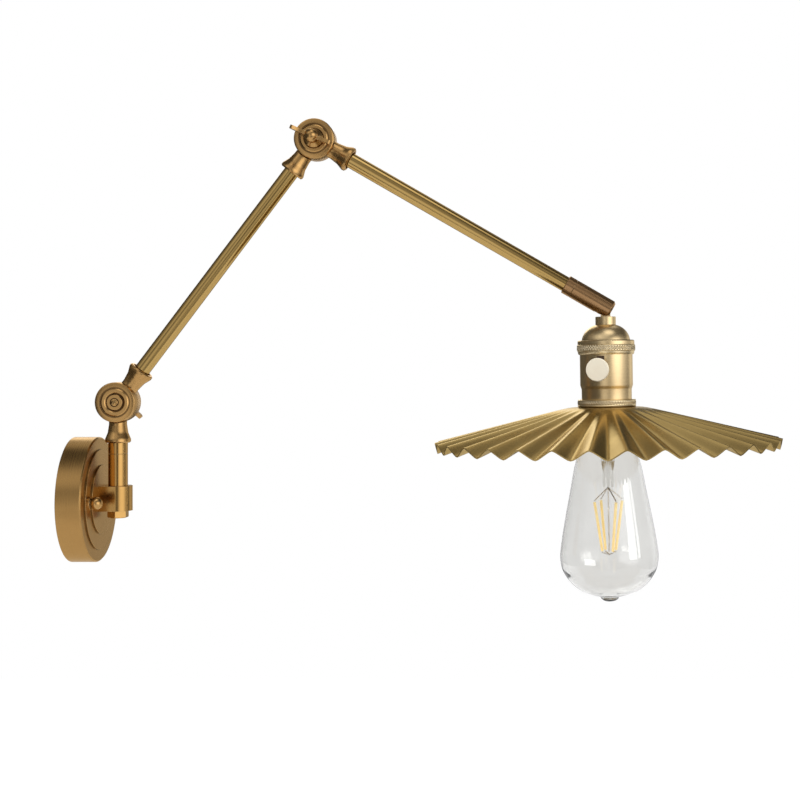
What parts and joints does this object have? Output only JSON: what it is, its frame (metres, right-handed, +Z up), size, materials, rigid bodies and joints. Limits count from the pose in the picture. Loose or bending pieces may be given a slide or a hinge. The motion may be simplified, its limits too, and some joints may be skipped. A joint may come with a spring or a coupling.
{
  "type": "wall lamp",
  "caption": "Swing-arm wall lamp: round canopy, swivelling post, two arms on wing-nut knuckles, tilting socket with turn switch, pleated metal shade and pear-shaped bulb.",
  "frame": {"origin": "centre of the mounting strap's back face, which is also the centre of the canopy's back, on the wall", "axes": "+X out of the wall, +Z up, arms in the XZ plane at rest, the socket's switch knob towards -Y"},
  "size_m": [0.459, 0.2248, 0.3131],
  "materials": {
    "aged_brass": "antique brass, satin, cast and brushed",
    "dark_brass": "antique brass, browner, brushed along its length",
    "arm_tube_brass": "olive-gold drawn tube with long streaks",
    "socket_brass": "pale satin brass, turned",
    "shade_brass": "brushed olive-gold sheet",
    "bare_brass": "machined",
    "plated_steel": "zinc plated",
    "fibre": "pressed fibre",
    "moulded_insulator": "black moulded phenolic",
    "pale_knob": "cream, polished",
    "bulb_cap_metal": "drawn sheet",
    "clear_glass": "clear blown glass",
    "nickel_wire": "bare wire",
    "filament_yellow": "phosphor coating"
  },
  "bodies": {
    "wall_base": {"canopy": "aged_brass", "mounting_strap": "plated_steel", "earth_screw": "plated_steel", "bracket": "aged_brass", "fixing_nipple": "bare_brass", "fixing_lock_washer": "plated_steel", "fixing_nut": "bare_brass", "post_stem": "dark_brass", "post_nut": "dark_brass", "canopy_stud_1": "plated_steel", "canopy_stud_2": "plated_steel", "ball_nut_1": "aged_brass", "ball_nut_2": "aged_brass"},
    "swivel": {"swivel_collar": "dark_brass", "post_knuckle": "aged_brass", "lower_friction_ring": "fibre"},
    "lower_arm": {"lower_arm_foot_knuckle": "aged_brass", "lower_arm_foot_nipple": "bare_brass", "lower_arm_tube": "arm_tube_brass", "lower_arm_top_nipple": "bare_brass", "lower_arm_top_knuckle": "aged_brass", "lower_pivot_bolt": "aged_brass", "upper_pivot_bolt": "aged_brass", "upper_friction_ring": "fibre"},
    "lower_wing": {"lower_wing_nut": "aged_brass"},
    "upper_wing": {"upper_wing_nut": "aged_brass"},
    "upper_arm": {"upper_arm_knuckle": "aged_brass", "upper_arm_nipple": "bare_brass", "upper_arm_tube": "arm_tube_brass", "sleeve_base_ring": "dark_brass"},
    "tilt_sleeve": {"end_sleeve": "dark_brass", "head_tilt_pin": "plated_steel"},
    "lamp_head": {"head_tongue": "aged_brass", "cap_lock_nut": "bare_brass", "socket_cap": "socket_brass", "cap_ring": "socket_brass", "socket_shell": "socket_brass", "shell_liner": "fibre", "switch_block": "moulded_insulator", "holder_sleeve": "moulded_insulator", "screw_shell": "bare_brass", "centre_contact": "bare_brass", "terminal_screw_1": "bare_brass", "terminal_screw_2": "bare_brass", "shade_ring": "socket_brass", "shade_lock_ring": "socket_brass", "shade": "shade_brass", "bulb_contact": "bare_brass", "bulb_insulator": "moulded_insulator", "bulb_cap": "bulb_cap_metal", "bulb_glass": "clear_glass", "bulb_stem": "clear_glass", "bulb_support_wires": "nickel_wire", "filament_1": "filament_yellow", "filament_2": "filament_yellow", "filament_3": "filament_yellow", "filament_4": "filament_yellow"},
    "switch": {"switch_knob": "pale_knob", "switch_stem": "plated_steel"}
  },
  "joints": [
    {"name": "post_swivel", "type": "hinge", "parent": "wall_base", "child": "swivel", "pos_m": [0.028, 0, 0.0296], "axis": [0, 0, 1], "range_deg": [-90, 90]},
    {"name": "lower_arm_hinge", "type": "hinge", "parent": "swivel", "child": "lower_arm", "pos_m": [0.028, 0, 0.0632], "axis": [0, -1, 0], "range_deg": [-92, 37]},
    {"name": "upper_arm_hinge", "type": "hinge", "parent": "lower_arm", "child": "upper_arm", "pos_m": [0.15655, 0, 0.23379], "axis": [0, 1, 0], "range_deg": [-85, 45]},
    {"name": "sleeve_twist", "type": "hinge", "parent": "upper_arm", "child": "tilt_sleeve", "pos_m": [0.34526, 0, 0.12505], "axis": [0.8665, 0, -0.4992], "range_deg": [-90, 90]},
    {"name": "head_tilt", "type": "hinge", "parent": "tilt_sleeve", "child": "lamp_head", "pos_m": [0.34526, 0, 0.12505], "axis": [0, -1, 0], "range_deg": [-15, 60]},
    {"name": "lower_wing_nut_turn", "type": "hinge", "parent": "lower_arm", "child": "lower_wing", "pos_m": [0.028, 0, 0.0632], "axis": [0, 1, 0], "range_deg": [0, 360]},
    {"name": "upper_wing_nut_turn", "type": "hinge", "parent": "lower_arm", "child": "upper_wing", "pos_m": [0.15655, 0, 0.23379], "axis": [0, -1, 0], "range_deg": [0, 360]},
    {"name": "switch_knob_turn", "type": "hinge", "parent": "lamp_head", "child": "switch", "pos_m": [0.3459, 0, 0.08446], "axis": [-0.2823, -0.9593, -0.0044], "continuous": true}
  ]
}
